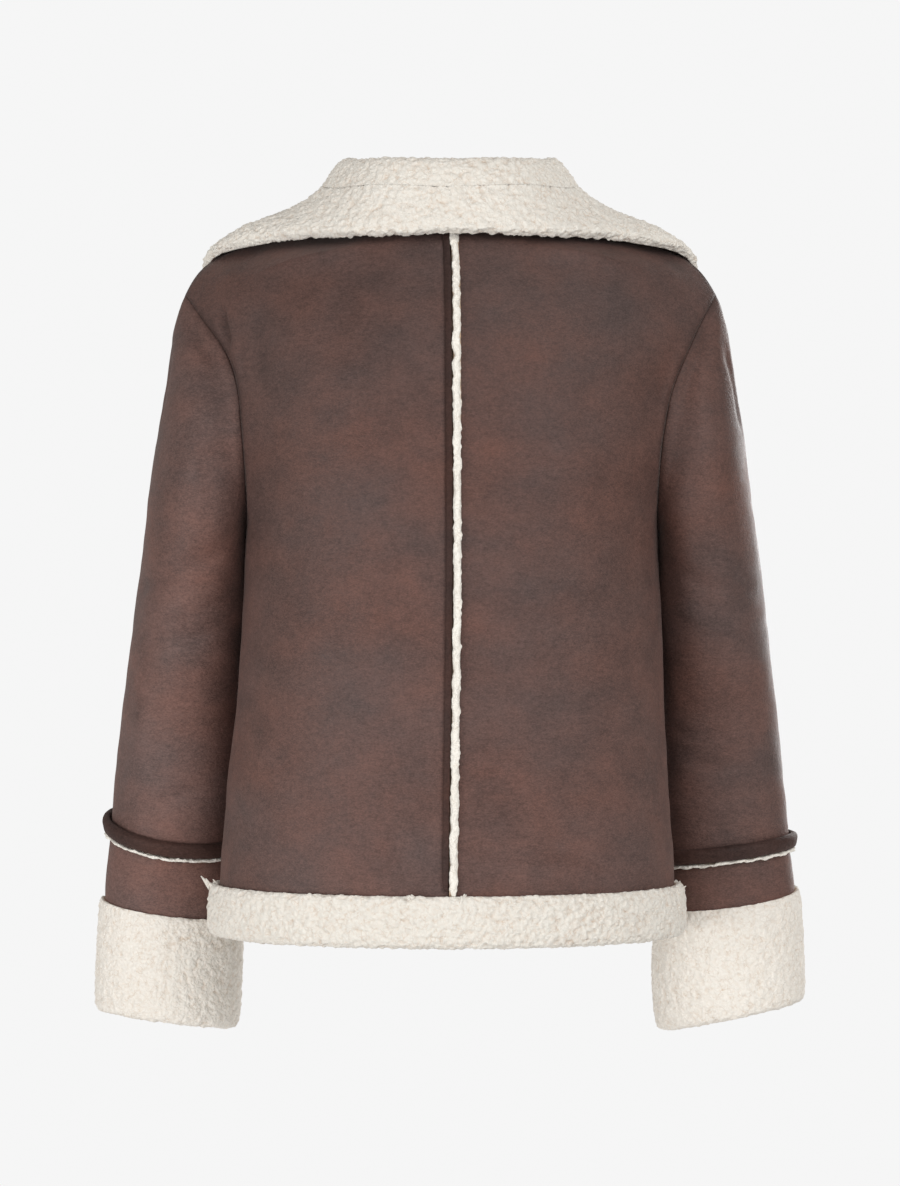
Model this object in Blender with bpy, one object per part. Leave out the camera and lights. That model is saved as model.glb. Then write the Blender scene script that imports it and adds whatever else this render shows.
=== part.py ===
"""Faux shearling jacket, hollow and filled out as if worn.

Metres, +Z up. The front faces -Y and the wearer's left is +X.
Z = 0 is the neck point of the shoulder seams, where the wearer's shoulders carry the jacket.
Each panel, sleeve piece, cuff, hem band, collar piece and exposed seam is one closed solid.
"""

import math
from collections import namedtuple

import bmesh
import bpy
from mathutils import Vector
from mathutils.bvhtree import BVHTree

# ---------------------------------------------------------------- driving sizes

CLOTH = 0.005            # bonded cloth, from the leather face to the tips of the short pile
SEAM_GAP = 0.0003        # clearance between neighbouring pieces
SIDE_Y = -0.005          # plane that holds the side seams and the shoulder seams
FRONT_GAP = 0.0015       # half of the opening between the two front edges

NECK_HALF_WIDTH = 0.085
NECK_BACK_Y = 0.0785
NECK_BACK_DROP = 0.0115

PANEL_COLUMNS = 10       # from the centre line to the side
NECK_COLUMNS = 3         # of these, the ones that lie along the back neck
NECK_SHARE = 0.42        # part of a back section that these columns take
ARMHOLE_STEPS = 11       # grid rows from the shoulder tip to the armpit
LOWER_STEPS = 7          # grid rows from the armpit to the hem
SLEEVE_COLUMNS = 2 * ARMHOLE_STEPS

HEM_BAND_TOP = -0.5575
HEM_FOOT = 0.0062        # the fold below the rim of the panels
HEM_THICK_TOP = 0.0085
HEM_THICK_BOTTOM = 0.0095

CUFF_FOOT = 0.0070
CUFF_THICK_TOP = 0.0058
CUFF_THICK_BOTTOM = 0.0088

COLLAR_STATIONS = 20     # from the centre back to the front break, on each side
ROLL_RADIUS = 0.0030     # leather side of the collar's roll
STAND_PILE = 0.0085
ROLL_PILE = 0.0100
FALL_PILE = 0.0110
EDGE_PILE = 0.0085

# ---------------------------------------------------------------- section tables

Edge = namedtuple("Edge", "z x_left x_right y_back y_front")
BODY_EDGE = (            # shoulder tip, round the armhole to the armpit, down the side seam
    Edge(-0.0615, 0.2235, 0.2245, SIDE_Y, SIDE_Y),
    Edge(-0.0735, 0.2150, 0.2180, 0.010, -0.021),
    Edge(-0.0880, 0.2045, 0.2095, 0.022, -0.034),
    Edge(-0.1120, 0.1860, 0.1985, 0.038, -0.050),
    Edge(-0.1400, 0.1765, 0.1855, 0.048, -0.060),
    Edge(-0.1720, 0.1735, 0.1785, 0.051, -0.063),
    Edge(-0.2060, 0.1710, 0.1745, 0.045, -0.055),
    Edge(-0.2370, 0.1705, 0.1740, 0.028, -0.037),
    Edge(-0.2620, 0.1715, 0.1750, SIDE_Y, SIDE_Y),
    Edge(-0.3100, 0.1735, 0.1772, SIDE_Y, SIDE_Y),
    Edge(-0.3600, 0.1765, 0.1790, SIDE_Y, SIDE_Y),
    Edge(-0.4100, 0.1800, 0.1808, SIDE_Y, SIDE_Y),
    Edge(-0.4600, 0.1865, 0.1830, SIDE_Y, SIDE_Y),
    Edge(-0.5100, 0.1905, 0.1862, SIDE_Y, SIDE_Y),
    Edge(-0.5550, 0.1940, 0.1890, SIDE_Y, SIDE_Y),
    Edge(-0.5935, 0.1955, 0.1900, SIDE_Y, SIDE_Y),
)
ARMPIT = 8               # row of BODY_EDGE

Centre = namedtuple("Centre", "z x y wrap bow")
BACK_CENTRE = (          # centre back; wrap: share of a quarter turn that a section makes;
                         # bow: how long a section stays level before it drops to its edge
    Centre(-NECK_BACK_DROP, 0.0, NECK_BACK_Y, 0.45, 3.0),
    Centre(-0.0215, 0.0, 0.0895, 0.47, 3.0),
    Centre(-0.0370, 0.0, 0.1000, 0.50, 2.6),
    Centre(-0.0680, 0.0, 0.1165, 0.56, 2.3),
    Centre(-0.1050, 0.0, 0.1290, 0.62, 2.0),
    Centre(-0.1450, 0.0, 0.1355, 0.68, 2.0),
    Centre(-0.1900, 0.0, 0.1385, 0.76, 2.0),
    Centre(-0.2320, 0.0, 0.1390, 0.88, 2.0),
    Centre(-0.2680, 0.0, 0.1385, 1.00, 2.0),
    Centre(-0.3120, 0.0, 0.1380, 1.00, 2.0),
    Centre(-0.3600, 0.0, 0.1365, 1.00, 2.0),
    Centre(-0.4100, 0.0, 0.1350, 1.00, 2.0),
    Centre(-0.4600, 0.0, 0.1335, 1.00, 2.0),
    Centre(-0.5100, 0.0, 0.1315, 1.00, 2.0),
    Centre(-0.5550, 0.0, 0.1295, 1.00, 2.0),
    Centre(-0.5935, 0.0, 0.1280, 1.00, 2.0),
)
FRONT_CENTRE = (         # V neckline down to the break, then the front edge
    Centre(0.0000, NECK_HALF_WIDTH, SIDE_Y, 0.40, 2.0),
    Centre(-0.0210, 0.0815, -0.0370, 0.42, 2.0),
    Centre(-0.0450, 0.0765, -0.0620, 0.45, 2.0),
    Centre(-0.0900, 0.0640, -0.0960, 0.52, 2.0),
    Centre(-0.1350, 0.0470, -0.1190, 0.60, 2.0),
    Centre(-0.1800, 0.0290, -0.1350, 0.68, 2.0),
    Centre(-0.2220, 0.0130, -0.1440, 0.78, 2.0),
    Centre(-0.2550, FRONT_GAP, -0.1480, 0.88, 2.0),
    Centre(-0.2800, FRONT_GAP, -0.1485, 1.00, 2.0),
    Centre(-0.3180, FRONT_GAP, -0.1470, 1.00, 2.0),
    Centre(-0.3640, FRONT_GAP, -0.1445, 1.00, 2.0),
    Centre(-0.4120, FRONT_GAP, -0.1415, 1.00, 2.0),
    Centre(-0.4610, FRONT_GAP, -0.1385, 1.00, 2.0),
    Centre(-0.5105, FRONT_GAP, -0.1350, 1.00, 2.0),
    Centre(-0.5550, FRONT_GAP, -0.1320, 1.00, 2.0),
    Centre(-0.5935, FRONT_GAP, -0.1300, 1.00, 2.0),
)
BREAK_ROW = 7            # row of FRONT_CENTRE where the collar's roll ends

Ridge = namedtuple("Ridge", "x z")
SHOULDER = (             # shoulder seam in the plane y = SIDE_Y
    Ridge(NECK_HALF_WIDTH, 0.0000),
    Ridge(0.1200, -0.0060),
    Ridge(0.1550, -0.0140),
    Ridge(0.1850, -0.0240),
    Ridge(0.2050, -0.0355),
    Ridge(0.2165, -0.0475),
)

Ring = namedtuple("Ring", "z_left z_right lean_left lean_right x_outer in_left in_right"
                          " drop_left drop_right y depth share")
SLEEVE = (               # armhole to cuff fold; share: how much of the armhole's form is left
    Ring(-0.0615, -0.0615, 0.00, 0.00, 0.2235, 0.1715, 0.1750, 0.2005, 0.2005, -0.0050, 0.0570, 1.00),
    Ring(-0.0900, -0.0900, 0.00, 0.00, 0.2330, 0.1730, 0.1765, 0.1760, 0.1760, -0.0060, 0.0620, 0.70),
    Ring(-0.1250, -0.1250, 0.00, 0.00, 0.2392, 0.1735, 0.1770, 0.1450, 0.1450, -0.0080, 0.0670, 0.40),
    Ring(-0.1650, -0.1650, 0.02, 0.02, 0.2456, 0.1732, 0.1767, 0.1110, 0.1110, -0.0120, 0.0705, 0.15),
    Ring(-0.2100, -0.2100, 0.04, 0.04, 0.2525, 0.1730, 0.1765, 0.0750, 0.0750, -0.0180, 0.0710, 0.00),
    Ring(-0.2580, -0.2580, 0.06, 0.06, 0.2592, 0.1724, 0.1758, 0.0450, 0.0450, -0.0280, 0.0690, 0.00),
    Ring(-0.3080, -0.3080, 0.09, 0.08, 0.2665, 0.1720, 0.1752, 0.0270, 0.0270, -0.0400, 0.0655, 0.00),
    Ring(-0.3600, -0.3600, 0.12, 0.09, 0.2742, 0.1733, 0.1755, 0.0190, 0.0190, -0.0530, 0.0615, 0.00),
    Ring(-0.4120, -0.4130, 0.15, 0.09, 0.2817, 0.1745, 0.1750, 0.0160, 0.0160, -0.0655, 0.0570, 0.00),
    Ring(-0.4650, -0.4730, 0.20, 0.07, 0.2885, 0.1755, 0.1755, 0.0150, 0.0150, -0.0765, 0.0530, 0.00),
    Ring(-0.5180, -0.5330, 0.27, 0.03, 0.2942, 0.1775, 0.1775, 0.0140, 0.0140, -0.0850, 0.0500, 0.00),
    Ring(-0.5480, -0.5520, 0.18, 0.06, 0.2972, 0.1805, 0.1805, 0.0140, 0.0140, -0.0885, 0.0485, 0.00),
    Ring(-0.5770, -0.5690, 0.10, 0.10, 0.2990, 0.1832, 0.1815, 0.0145, 0.0160, -0.0915, 0.0475, 0.00),
    Ring(-0.6260, -0.6160, 0.00, 0.03, 0.2998, 0.1860, 0.1800, 0.0150, 0.0200, -0.0940, 0.0465, 0.00),
    Ring(-0.6680, -0.6597, -0.05, -0.04, 0.3004, 0.1900, 0.1850, 0.0150, 0.0250, -0.0955, 0.0460, 0.00),
)
SEAM_RING = 10           # rows of SLEEVE
CUFF_TOP_RING = 12
UPPER_SLEEVE_STEPS = 14
ARMHOLE_HEART = Vector((0.225, SIDE_Y, -0.165))   # point that the rim of the sleeve head faces

SEAM_START = 0.6         # the exposed back seam starts this far down the first grid row
SEAM_END = 0.0018        # and ends this far above the hem band
SHORTEST_RUN = 0.05      # of a grid row; a last length of the seam shorter than this is left off
Drift = namedtuple("Drift", "x")
SEAM_DRIFT = (           # sideways wander of the exposed back seam, neck to hem
    Drift(-0.0016),
    Drift(-0.0040),
    Drift(-0.0052),
    Drift(-0.0054),
    Drift(-0.0060),
    Drift(-0.0058),
    Drift(-0.0042),
    Drift(-0.0026),
)

Station = namedtuple("Station", "neck roll_x roll_y roll_z mid_x mid_y mid_z"
                                " edge_x edge_y edge_z lift stand_off seam pile")
COLLAR = (               # neck: 0 centre back, 1 shoulder seam, 2 the front break, just past its end
    Station(0.00, 0.0000, 0.0800, 0.0305, 0.000, 0.088, 0.008, 0.000, 0.096, -0.0225, 0.0060, 0.0060, 0.34, 1.0),
    Station(0.35, 0.0462, 0.0695, 0.0325, 0.053, 0.079, 0.008, 0.066, 0.088, -0.0230, 0.0045, 0.0050, 0.31, 1.0),
    Station(0.70, 0.0765, 0.0365, 0.0345, 0.087, 0.046, 0.006, 0.130, 0.052, -0.0240, 0.0045, 0.0080, 0.34, 1.0),
    Station(1.00, 0.0865, -0.003, 0.0335, 0.104, 0.000, -0.001, 0.203, -0.004, -0.0310, 0.0050, 0.0150, 0.24, 1.0),
    Station(1.25, 0.0680, -0.096, -0.044, 0.122, -0.090, -0.042, 0.196, -0.048, -0.0800, 0.0045, 0.0090, 0.15, 1.0),
    Station(1.50, 0.0400, -0.136, -0.124, 0.094, -0.142, -0.124, 0.160, -0.092, -0.1480, 0.0035, 0.0035, 0.20, 0.95),
    Station(1.75, 0.0195, -0.155, -0.194, 0.052, -0.162, -0.188, 0.096, -0.135, -0.208, 0.0035, 0.0035, 0.26, 0.85),
    Station(1.92, 0.0125, -0.156, -0.2345, 0.027, -0.162, -0.234, 0.042, -0.149, -0.242, 0.0030, 0.0030, 0.36, 0.75),
)

# ---------------------------------------------------------------- finishes

LEATHER = ("leather", (0.118, 0.075, 0.063, 1.0), 0.62)
PILE = ("pile", (0.76, 0.72, 0.65, 1.0), 0.95)


# ---------------------------------------------------------------- helpers

def spline(table, place):
    """Catmull-Rom value of a table of equal-length rows at a fractional row number."""
    last = len(table) - 1
    start = min(int(place), last - 1)
    t = place - start
    before = table[max(start - 1, 0)]
    here = table[start]
    after = table[start + 1]
    beyond = table[min(start + 2, last)]
    values = []
    for a, b, c, d in zip(before, here, after, beyond):
        slope_in = (c - a) / 2.0
        slope_out = (d - b) / 2.0
        rise = c - b
        values.append(b + t * (slope_in + t * (3.0 * rise - 2.0 * slope_in - slope_out
                                               + t * (slope_in + slope_out - 2.0 * rise))))
    return type(here)(*values) if hasattr(here, "_fields") else Vector(values)


def blend(a, b, t):
    return a + (b - a) * t


def grid_normals(grid, closed=False):
    """Unit normals of a grid of points, by central differences; closed grids wrap their columns."""
    rows = len(grid)
    columns = len(grid[0])
    normals = []
    for j in range(rows):
        line = []
        for i in range(columns):
            if closed:
                along = grid[j][(i + 1) % columns] - grid[j][i - 1]
            else:
                along = grid[j][min(i + 1, columns - 1)] - grid[j][max(i - 1, 0)]
            down = grid[min(j + 1, rows - 1)][i] - grid[max(j - 1, 0)][i]
            line.append(down.cross(along).normalized())
        normals.append(line)
    return normals


def flatten(normal, axis):
    """The normal without its part along one axis, so that a seam's rim lies in a flat plane."""
    flat = normal.copy()
    flat[axis] = 0.0
    return flat.normalized()


def moved(points, normals, distance):
    return [[p + n * distance for p, n in zip(row, line)] for row, line in zip(points, normals)]


def finish(name, bm, finish_of, sharp_angle=50.0):
    """Turn a bmesh into a named object with outward faces, smooth shading and its own material."""
    bmesh.ops.recalc_face_normals(bm, faces=bm.faces)
    mesh = bpy.data.meshes.new(name)
    bm.to_mesh(mesh)
    bm.free()
    mesh.shade_smooth()
    mesh.set_sharp_from_angle(angle=math.radians(sharp_angle))
    label, colour, roughness = finish_of
    material = bpy.data.materials.new(name + "_" + label)
    material.use_nodes = True
    shader = material.node_tree.nodes["Principled BSDF"]
    shader.inputs["Base Color"].default_value = colour
    shader.inputs["Roughness"].default_value = roughness
    shader.inputs["Metallic"].default_value = 0.0
    mesh.materials.append(material)
    thing = bpy.data.objects.new(name, mesh)
    bpy.context.scene.collection.objects.link(thing)
    return thing


def shell(name, outer, inner, finish_of, closed=False):
    """Closed wall between two grids of points; closed grids wrap their columns."""
    bm = bmesh.new()
    faces_out = [[bm.verts.new(p) for p in row] for row in outer]
    faces_in = [[bm.verts.new(p) for p in row] for row in inner]
    rows = len(outer)
    columns = len(outer[0])
    spans = columns if closed else columns - 1
    for j in range(rows - 1):
        for i in range(spans):
            k = (i + 1) % columns
            for side in (faces_out, faces_in):
                bm.faces.new((side[j][i], side[j][k], side[j + 1][k], side[j + 1][i]))
    for j in (0, rows - 1):
        for i in range(spans):
            k = (i + 1) % columns
            bm.faces.new((faces_out[j][i], faces_out[j][k], faces_in[j][k], faces_in[j][i]))
    if not closed:
        for i in (0, columns - 1):
            for j in range(rows - 1):
                bm.faces.new((faces_out[j][i], faces_out[j + 1][i], faces_in[j + 1][i], faces_in[j][i]))
    return finish(name, bm, finish_of)


def sweep(name, profiles, finish_of, closed=False):
    """Closed solid through a run of profile loops; an open run gets a face at each end."""
    bm = bmesh.new()
    loops = [[bm.verts.new(p) for p in profile] for profile in profiles]
    count = len(loops)
    size = len(loops[0])
    for j in range(count if closed else count - 1):
        here = loops[j]
        there = loops[(j + 1) % count]
        for i in range(size):
            k = (i + 1) % size
            bm.faces.new((here[i], here[k], there[k], there[i]))
    if not closed:
        ends = [bm.faces.new(loops[0]), bm.faces.new(loops[-1])]
        for end in ends:
            end.normal_update()
        bmesh.ops.triangulate(bm, faces=ends)
    return finish(name, bm, finish_of)


# ---------------------------------------------------------------- body panels

def edge_point(row, side, back):
    """Point of the armhole or the side seam at a fractional row of BODY_EDGE."""
    edge = spline(BODY_EDGE, row)
    x = edge.x_left if side > 0 else edge.x_right
    y = edge.y_back if back else edge.y_front
    return Vector((x, y, edge.z))


def column_share(i, back):
    """How far along its section a grid column lies, from the centre line to the side."""
    if not back:
        return i / PANEL_COLUMNS
    if i <= NECK_COLUMNS:
        return NECK_SHARE * i / NECK_COLUMNS
    return blend(NECK_SHARE, 1.0, (i - NECK_COLUMNS) / (PANEL_COLUMNS - NECK_COLUMNS))


def section(row, side, back):
    """One row of a panel, from the centre line to its edge, at a row of the tables."""
    centre = (BACK_CENTRE if back else FRONT_CENTRE)[row]
    edge = edge_point(row, side, back)
    turn = centre.wrap * math.pi / 2.0
    points = []
    for i in range(PANEL_COLUMNS + 1):
        t = column_share(i, back)
        out = math.sin(turn * t) / math.sin(turn)
        fall = (1.0 - math.cos(turn * t)) / (1.0 - math.cos(turn))
        points.append(Vector((blend(centre.x, edge.x, out),
                              blend(centre.y, edge.y, fall),
                              blend(centre.z, edge.z, t ** centre.bow))))
    return points


def shoulder_point(t, side):
    """Point of the shoulder seam, t = 0 at the neck and 1 at the tip."""
    tip = edge_point(0, side, True)
    ridge = SHOULDER + (Ridge(tip.x, tip.z),)
    place = spline(ridge, t * (len(ridge) - 1))
    return Vector((place.x, SIDE_Y, place.z))


def top_row(side, back):
    """Upper edge of a panel: back neck and shoulder seam, or the shoulder seam alone."""
    if not back:
        return [shoulder_point(i / PANEL_COLUMNS, side) for i in range(PANEL_COLUMNS + 1)]
    points = []
    for i in range(NECK_COLUMNS):
        turn = i / NECK_COLUMNS * math.pi / 2.0
        points.append(Vector((NECK_HALF_WIDTH * math.sin(turn),
                              blend(SIDE_Y, NECK_BACK_Y, math.cos(turn)),
                              -NECK_BACK_DROP * math.cos(turn))))
    seam_columns = PANEL_COLUMNS - NECK_COLUMNS
    points += [shoulder_point(i / seam_columns, side) for i in range(seam_columns + 1)]
    return points


def row_places():
    """Fractional table rows of the grid: ARMHOLE_STEPS down to the armpit, then to the hem."""
    upper = [ARMPIT * k / ARMHOLE_STEPS for k in range(ARMHOLE_STEPS)]
    last = len(BODY_EDGE) - 1
    lower = [ARMPIT + (last - ARMPIT) * k / LOWER_STEPS for k in range(LOWER_STEPS + 1)]
    return upper + lower


def panel_surface(side, back):
    """Outer points and normals of one panel, with its seams in flat planes."""
    rows = [top_row(side, back)]
    rows += [section(row, side, back) for row in range(1, len(BODY_EDGE))]
    columns = list(zip(*rows))
    grid = []
    for place in row_places():
        grid.append([spline(column, place) for column in columns])
        if 0.0 < place < ARMPIT:
            grid[-1][-1] = edge_point(place, side, back)
    normals = grid_normals(grid)
    outward = 1.0 if back else -1.0
    for j, row in enumerate(grid):
        for i in range(len(row)):
            if normals[j][i].y * outward < 0.0:
                normals[j][i].negate()
    seam_y = SIDE_Y + outward * SEAM_GAP / 2.0
    first_seam_column = NECK_COLUMNS if back else 0
    for i in range(first_seam_column, PANEL_COLUMNS + 1):
        grid[0][i].y = seam_y
        normals[0][i] = flatten(normals[0][i], 1)
    for j in range(len(grid)):
        if j >= ARMHOLE_STEPS:
            grid[j][-1].y = seam_y
            normals[j][-1] = flatten(normals[j][-1], 1)
        if back:
            grid[j][0].x = SEAM_GAP / 2.0
        if back or j > ARMHOLE_STEPS - 1:
            normals[j][0] = flatten(normals[j][0], 0)
    mirror = Vector((side, 1.0, 1.0))
    grid = [[p * mirror for p in row] for row in grid]
    normals = [[n * mirror for n in row] for row in normals]
    return grid, normals


def panel(name, surface):
    grid, normals = surface
    return shell(name, grid, moved(grid, normals, -CLOTH), LEATHER)


# ---------------------------------------------------------------- sleeves

def armhole_loop(side):
    """The armhole as a loop of points: shoulder tip, back, armpit, front."""
    steps = [ARMPIT * k / ARMHOLE_STEPS for k in range(ARMHOLE_STEPS + 1)]
    back = [edge_point(step, side, True) for step in steps]
    front = [edge_point(step, side, False) for step in steps]
    return back + front[-2:0:-1]


def sleeve_ring(ring, side):
    """Oval ring of a sleeve, from its outer point round the back, the inner point and the front."""
    z_outer = ring.z_left if side > 0 else ring.z_right
    lean = ring.lean_left if side > 0 else ring.lean_right
    width = ring.x_outer - (ring.in_left if side > 0 else ring.in_right)
    drop = ring.drop_left if side > 0 else ring.drop_right
    points = []
    for i in range(SLEEVE_COLUMNS):
        turn = 2.0 * math.pi * i / SLEEVE_COLUMNS
        inward = (1.0 - math.cos(turn)) / 2.0
        behind = math.sin(turn)
        points.append(Vector((ring.x_outer - inward * width,
                              ring.y + behind * ring.depth,
                              z_outer - inward * drop - behind * ring.depth * lean)))
    return points


def sleeve_surface(side):
    """Outer points and normals of a whole sleeve, armhole to cuff fold."""
    armhole = armhole_loop(side)
    first = sleeve_ring(SLEEVE[0], side)
    spare = [a - b for a, b in zip(armhole, first)]
    places = [SEAM_RING * k / UPPER_SLEEVE_STEPS for k in range(UPPER_SLEEVE_STEPS + 1)]
    places += [float(k) for k in range(SEAM_RING + 1, len(SLEEVE))]
    grid = []
    for place in places:
        ring = spline(SLEEVE, place)
        grid.append([p + d * ring.share for p, d in zip(sleeve_ring(ring, side), spare)])
    grid[0] = [p + Vector((SEAM_GAP, 0.0, 0.0)) for p in armhole]
    normals = grid_normals(grid, closed=True)
    halfway = len(grid) // 2
    middle = sum(grid[halfway], Vector()) / SLEEVE_COLUMNS
    if (grid[halfway][0] - middle).dot(normals[halfway][0]) < 0.0:
        normals = [[-n for n in row] for row in normals]
    normals[0] = [(p - ARMHOLE_HEART).normalized() for p in grid[0]]
    mirror = Vector((side, 1.0, 1.0))
    grid = [[p * mirror for p in row] for row in grid]
    normals = [[n * mirror for n in row] for row in normals]
    return grid, normals


def shifted_row(grid, row, toward, distance):
    return [p + (q - p).normalized() * distance for p, q in zip(grid[row], grid[toward])]


def sleeve_pieces(surface, tag):
    """Upper sleeve and lower band, parted at the seam ring."""
    grid, normals = surface
    inner = moved(grid, normals, -CLOTH)
    seam = UPPER_SLEEVE_STEPS
    for name, first, last in (("sleeve_", 0, seam), ("sleeve_band_", seam, len(grid) - 1)):
        outer_part = [list(row) for row in grid[first:last + 1]]
        inner_part = [list(row) for row in inner[first:last + 1]]
        if first == seam:
            outer_part[0] = shifted_row(grid, seam, seam + 1, SEAM_GAP / 2.0)
            inner_part[0] = shifted_row(inner, seam, seam + 1, SEAM_GAP / 2.0)
        else:
            outer_part[-1] = shifted_row(grid, seam, seam - 1, SEAM_GAP / 2.0)
            inner_part[-1] = shifted_row(inner, seam, seam - 1, SEAM_GAP / 2.0)
        shell(name + tag, outer_part, inner_part, LEATHER, closed=True)


Rib = namedtuple("Rib", "out up")
LIP_PROFILE = (          # leather allowance that stands out above the sleeve seam
    Rib(0.0003, 0.0150),
    Rib(0.0044, 0.0148),
    Rib(0.0080, 0.0122),
    Rib(0.0076, 0.0080),
    Rib(0.0054, 0.0010),
    Rib(0.0003, 0.0010),
)
EDGE_PROFILE = (         # pile edge that shows under the lip
    Rib(0.0003, 0.0007),
    Rib(0.0046, 0.0007),
    Rib(0.0050, -0.0012),
    Rib(0.0032, -0.0023),
    Rib(0.0003, -0.0023),
)


def sleeve_seam(surface, tag):
    """The lip and the pile edge round the sleeve seam, swept over the sleeve's own points."""
    grid, normals = surface
    seam = UPPER_SLEEVE_STEPS
    for name, profile, finish_of in (("sleeve_seam_lip_", LIP_PROFILE, LEATHER),
                                     ("sleeve_seam_pile_", EDGE_PROFILE, PILE)):
        profiles = []
        for i in range(SLEEVE_COLUMNS):
            up = (grid[seam - 1][i] - grid[seam][i]).normalized()
            down = (grid[seam + 1][i] - grid[seam][i]).normalized()
            loop = []
            for rib in profile:
                run = up * rib.up if rib.up > 0.0 else down * -rib.up
                loop.append(grid[seam][i] + run + normals[seam][i] * rib.out)
            profiles.append(loop)
        sweep(name + tag, profiles, finish_of, closed=True)


# ---------------------------------------------------------------- turned-up edges

Fold = namedtuple("Fold", "at out thick down foot")
FOLD_PROFILE = (         # out and down in metres; thick and foot are shares of the band's own
    Fold("top", SEAM_GAP, 0.00, 0.0, 0.0),
    Fold("top", SEAM_GAP, 0.60, -0.0012, 0.0),
    Fold("top", SEAM_GAP, 1.00, 0.0030, 0.0),
    Fold("middle", SEAM_GAP, 1.00, 0.0, 0.0),
    Fold("low", SEAM_GAP, 1.00, -0.0040, 0.0),
    Fold("low", SEAM_GAP, 0.82, 0.0, 0.62),
    Fold("low", SEAM_GAP, 0.25, 0.0, 1.0),
    Fold("rim", 0.0, 0.00, 0.0, 1.0),
    Fold("rim", -0.0010, 0.00, 0.0, 0.5),
    Fold("rim", 0.0, 0.00, SEAM_GAP, 0.0),
    Fold("low", SEAM_GAP, 0.00, SEAM_GAP, 0.0),
    Fold("middle", SEAM_GAP, 0.00, 0.0, 0.0),
)


def turned_edge(top, middle, low, thick_top, thick_low, foot):
    """J-shaped profile of a band that folds under a rim and up over the outside.

    top, middle and low are (point, normal) pairs of the cloth's outer face.
    """
    down = (low[0] - middle[0]).normalized()
    rim = (low[0] - low[1] * CLOTH, low[1])
    places = {"top": top, "middle": middle, "low": low, "rim": rim}
    thickness = {"top": thick_top, "middle": (thick_top + thick_low) / 2.0,
                 "low": thick_low, "rim": 0.0}
    profile = []
    for fold in FOLD_PROFILE:
        point, normal = places[fold.at]
        out = fold.out + fold.thick * thickness[fold.at]
        profile.append(point + normal * out + down * (fold.down + fold.foot * foot))
    return profile


def cuff(surface, tag):
    """Turned-back cuff, made from the band's points moved out."""
    grid, normals = surface
    top = UPPER_SLEEVE_STEPS + CUFF_TOP_RING - SEAM_RING
    profiles = []
    for i in range(SLEEVE_COLUMNS):
        top_place, middle_place, low_place = [(grid[j][i], normals[j][i]) for j in (top, top + 1, -1)]
        profiles.append(turned_edge(top_place, middle_place, low_place,
                                    CUFF_THICK_TOP, CUFF_THICK_BOTTOM, CUFF_FOOT))
    sweep("cuff_" + tag, profiles, PILE, closed=True)


def hem_profile(grid, normals, column):
    """Profile of the hem band at one column of a panel."""
    above = max(j for j in range(len(grid) - 1) if grid[j][column].z > HEM_BAND_TOP)
    upper = grid[above][column]
    lower = grid[above + 1][column]
    top = upper.lerp(lower, (HEM_BAND_TOP - upper.z) / (lower.z - upper.z))
    low = grid[-1][column]
    return turned_edge((top, normals[above][column]), (top.lerp(low, 0.5), normals[-2][column]),
                       (low, normals[-1][column]), HEM_THICK_TOP, HEM_THICK_BOTTOM, HEM_FOOT)


def hem_bands(surfaces):
    """Hem band in three pieces: round the back, and one on each front."""
    left = [hem_profile(*surfaces["back_left"], i) for i in range(PANEL_COLUMNS, 0, -1)]
    right = [hem_profile(*surfaces["back_right"], i) for i in range(1, PANEL_COLUMNS + 1)]
    centre = [p * Vector((0.0, 1.0, 1.0)) for p in hem_profile(*surfaces["back_left"], 0)]
    sweep("hem_back", left + [centre] + right, PILE)
    for tag in ("left", "right"):
        profiles = [hem_profile(*surfaces["front_" + tag], i) for i in range(PANEL_COLUMNS + 1)]
        sweep("hem_front_" + tag, profiles, PILE)


# ---------------------------------------------------------------- exposed back seam

Strip = namedtuple("Strip", "x out")
BACK_LIP = (             # leather allowance, from the centre of the pile strip
    Strip(0.0098, 0.0004),
    Strip(0.0090, 0.0022),
    Strip(0.0060, 0.0034),
    Strip(0.0037, 0.0026),
    Strip(0.0037, 0.0004),
)
BACK_PILE = (
    Strip(0.0033, 0.0004),
    Strip(0.0030, 0.0036),
    Strip(0.0000, 0.0050),
    Strip(-0.0030, 0.0038),
    Strip(-0.0036, 0.0004),
)


def back_seam(surfaces):
    """The seam that shows down the centre back, laid on the panels from neck to hem band."""
    grid, normals = surfaces["back_left"]
    rows = [j for j in range(len(grid)) if grid[j][0].z > HEM_BAND_TOP]
    line = [(grid[j][0] * Vector((0.0, 1.0, 1.0)), normals[j][0]) for j in rows]
    end_t = (HEM_BAND_TOP + SEAM_END - line[-1][0].z) / (grid[len(rows)][0].z - line[-1][0].z)
    if end_t > SHORTEST_RUN:
        below = grid[len(rows)][0] * Vector((0.0, 1.0, 1.0))
        line.append((line[-1][0].lerp(below, end_t), line[-1][1]))
    start, start_normal = line[0]
    line[0] = (start.lerp(line[1][0], SEAM_START), start_normal.lerp(line[1][1], SEAM_START).normalized())
    for name, profile, finish_of in (("back_seam_lip", BACK_LIP, LEATHER),
                                     ("back_seam_pile", BACK_PILE, PILE)):
        profiles = []
        for j, (point, normal) in enumerate(line):
            drift = spline(SEAM_DRIFT, (len(SEAM_DRIFT) - 1) * j / (len(line) - 1)).x
            profiles.append([point + Vector((drift + rib.x, 0.0, 0.0)) + normal * rib.out
                             for rib in profile])
        sweep(name, profiles, finish_of)


# ---------------------------------------------------------------- collar

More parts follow.
